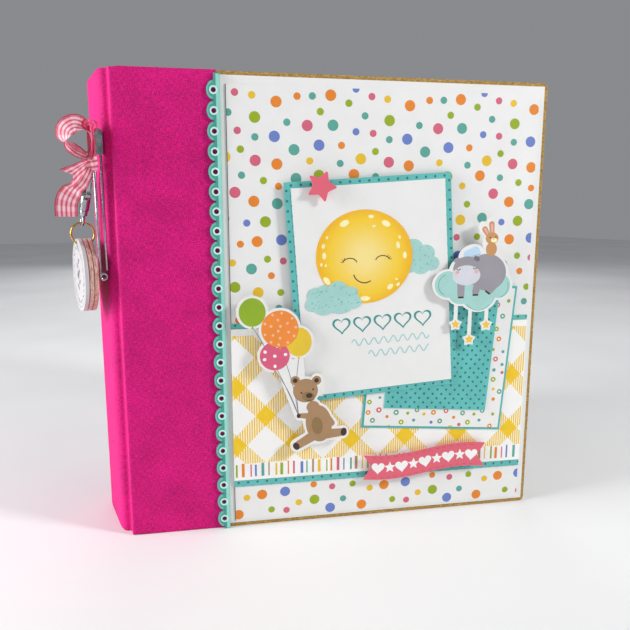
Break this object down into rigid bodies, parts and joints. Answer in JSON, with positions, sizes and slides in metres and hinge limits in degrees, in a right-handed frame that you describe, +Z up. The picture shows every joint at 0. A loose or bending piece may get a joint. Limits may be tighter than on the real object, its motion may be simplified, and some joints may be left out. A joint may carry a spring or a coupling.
{
  "type": "scrapbook album",
  "caption": "Handmade scrapbook album with a bookcloth spine, hinged chipboard covers, fanning pages and a layered papercraft front, with a pinned bow and charms.",
  "frame": {"origin": "bottom centre of the spine board, on the surface the album stands on", "axes": "+X from the spine to the fore-edge, +Y from the front cover to the back cover, +Z up"},
  "size_m": [0.2341, 0.1779, 0.2286],
  "materials": {
    "bookcloth": "fine woven bookcloth",
    "chipboard": "raw kraft chipboard",
    "white_cardstock": "smooth cardstock",
    "dotted_paper": "white paper printed with coloured dots",
    "confetti_paper": "white paper printed with small dots",
    "gingham_paper": "yellow bias gingham print",
    "teal_paper": "teal paper with dark dots",
    "scallop_paper": "punched cardstock with inked edge",
    "coral_paper": "smooth cardstock",
    "sticker_paper": "printed cardstock with a white margin",
    "foam": "matte foam",
    "steel": "polished",
    "gold": "polished",
    "charm_white": "smooth printed disc",
    "charm_rose": "smooth wooden disc",
    "ribbon": "sheer woven gingham ribbon"
  },
  "bodies": {
    "spine": {"spine_board": "chipboard", "spine_cloth": "bookcloth", "spine_liner": "white_cardstock", "binding_strip": "white_cardstock", "front_gutter_cloth": "bookcloth", "back_gutter_cloth": "bookcloth", "pin_wire": "steel", "pin_cap": "steel", "ribbon_knot": "ribbon", "ribbon_loop_outer": "ribbon", "ribbon_loop_inner": "ribbon", "ribbon_tail_upper": "ribbon", "ribbon_tail_lower": "ribbon"},
    "front_cover": {"front_board": "chipboard", "front_cloth": "bookcloth", "front_liner": "white_cardstock", "front_mat": "white_cardstock", "front_dot_paper": "dotted_paper", "front_scallop_border": "scallop_paper", "teal_band": "teal_paper", "gingham_band": "gingham_paper", "confetti_backing": "teal_paper", "confetti_mat": "confetti_paper", "teal_inset": "teal_paper", "card_mat": "teal_paper", "moon_card": "white_cardstock", "star_diecut": "coral_paper", "balloon_diecut": "sticker_paper", "cloud_diecut": "sticker_paper", "banner": "coral_paper", "star_foam": "foam", "balloon_foam": "foam", "cloud_foam": "foam", "banner_foam": "foam"},
    "back_cover": {"back_board": "chipboard", "back_cloth": "bookcloth", "back_liner": "white_cardstock", "back_mat": "white_cardstock", "back_dot_paper": "dotted_paper", "back_scallop_border": "scallop_paper"},
    "page_1": {"page_1": "white_cardstock", "page_1_mat": "teal_paper"},
    "page_2": {"page_2": "white_cardstock", "page_2_mat": "teal_paper"},
    "page_3": {"page_3": "white_cardstock", "page_3_mat": "teal_paper"},
    "page_4": {"page_4": "white_cardstock", "page_4_mat": "teal_paper"},
    "page_5": {"page_5": "white_cardstock", "page_5_mat": "teal_paper"},
    "page_6": {"page_6": "white_cardstock", "page_6_mat": "teal_paper"},
    "pin_arm": {"pin_arm": "steel"},
    "clasp": {"clasp_body": "steel"},
    "clasp_lever": {"clasp_lever": "steel"},
    "swivel": {"clasp_swivel": "steel", "jump_ring": "gold"},
    "charm_inner": {"charm_inner": "charm_rose"},
    "charm_middle": {"charm_middle": "charm_rose"},
    "charm_outer": {"charm_outer": "charm_white"}
  },
  "joints": [
    {"name": "front_cover_turn", "type": "hinge", "parent": "spine", "child": "front_cover", "pos_m": [0.0023, -0.01965, 0.1], "axis": [0, 0, -1], "range_deg": [-17, 73], "deforming": ["front_gutter_cloth"]},
    {"name": "back_cover_turn", "type": "hinge", "parent": "spine", "child": "back_cover", "pos_m": [0.0023, 0.01965, 0.1], "axis": [0, 0, 1], "range_deg": [-17, 73], "deforming": ["back_gutter_cloth"]},
    {"name": "page_1_turn", "type": "hinge", "parent": "spine", "child": "page_1", "pos_m": [0.0056, -0.01375, 0.1], "axis": [0, 0, -1], "range_deg": [-12.85, 54.85]},
    {"name": "page_2_turn", "type": "hinge", "parent": "spine", "child": "page_2", "pos_m": [0.0056, -0.00825, 0.1], "axis": [0, 0, -1], "range_deg": [-7.75, 32.95]},
    {"name": "page_3_turn", "type": "hinge", "parent": "spine", "child": "page_3", "pos_m": [0.0056, -0.00275, 0.1], "axis": [0, 0, -1], "range_deg": [-2.65, 11.05]},
    {"name": "page_4_turn", "type": "hinge", "parent": "spine", "child": "page_4", "pos_m": [0.0056, 0.00275, 0.1], "axis": [0, 0, 1], "range_deg": [-2.65, 11.05]},
    {"name": "page_5_turn", "type": "hinge", "parent": "spine", "child": "page_5", "pos_m": [0.0056, 0.00825, 0.1], "axis": [0, 0, 1], "range_deg": [-7.75, 32.95]},
    {"name": "page_6_turn", "type": "hinge", "parent": "spine", "child": "page_6", "pos_m": [0.0056, 0.01375, 0.1], "axis": [0, 0, 1], "range_deg": [-12.85, 54.85]},
    {"name": "pin_arm_squeeze", "type": "hinge", "parent": "spine", "child": "pin_arm", "pos_m": [-0.0039, -0.0193, 0.133], "axis": [0, -1, 0], "range_deg": [0, 1.1], "stiffness_Nm_per_rad": 0.5},
    {"name": "clasp_swing", "type": "hinge", "parent": "spine", "child": "clasp", "pos_m": [-0.0072, -0.0115, 0.179], "axis": [0, 1, 0], "range_deg": [0, 45]},
    {"name": "clasp_lever_press", "type": "hinge", "parent": "clasp", "child": "clasp_lever", "pos_m": [-0.00826, -0.01275, 0.17107], "axis": [-0.9888, -0.0514, 0.1404], "range_deg": [0, 18], "stiffness_Nm_per_rad": 0.02},
    {"name": "swivel_turn", "type": "hinge", "parent": "clasp", "child": "swivel", "pos_m": [-0.0072, -0.0115, 0.179], "axis": [0.1495, -0.3397, 0.9286], "range_deg": [-15, 1]},
    {"name": "charm_inner_swing", "type": "hinge", "parent": "swivel", "child": "charm_inner", "pos_m": [-0.0105, -0.004, 0.1476], "axis": [-0.999, -0.0436, 0], "range_deg": [-25, 25]},
    {"name": "charm_middle_swing", "type": "hinge", "parent": "swivel", "child": "charm_middle", "pos_m": [-0.0105, -0.004, 0.1476], "axis": [-0.999, -0.0436, 0], "range_deg": [-25, 25]},
    {"name": "charm_outer_swing", "type": "hinge", "parent": "swivel", "child": "charm_outer", "pos_m": [-0.0105, -0.004, 0.1476], "axis": [-0.999, -0.0436, 0], "range_deg": [-25, 25]}
  ],
  "couplings": [
    {"joint": "page_1_turn", "follows": "front_cover_turn", "ratio": 0.75},
    {"joint": "page_2_turn", "follows": "front_cover_turn", "ratio": 0.45},
    {"joint": "page_3_turn", "follows": "front_cover_turn", "ratio": 0.15},
    {"joint": "page_4_turn", "follows": "back_cover_turn", "ratio": 0.15},
    {"joint": "page_5_turn", "follows": "back_cover_turn", "ratio": 0.45},
    {"joint": "page_6_turn", "follows": "back_cover_turn", "ratio": 0.75}
  ]
}
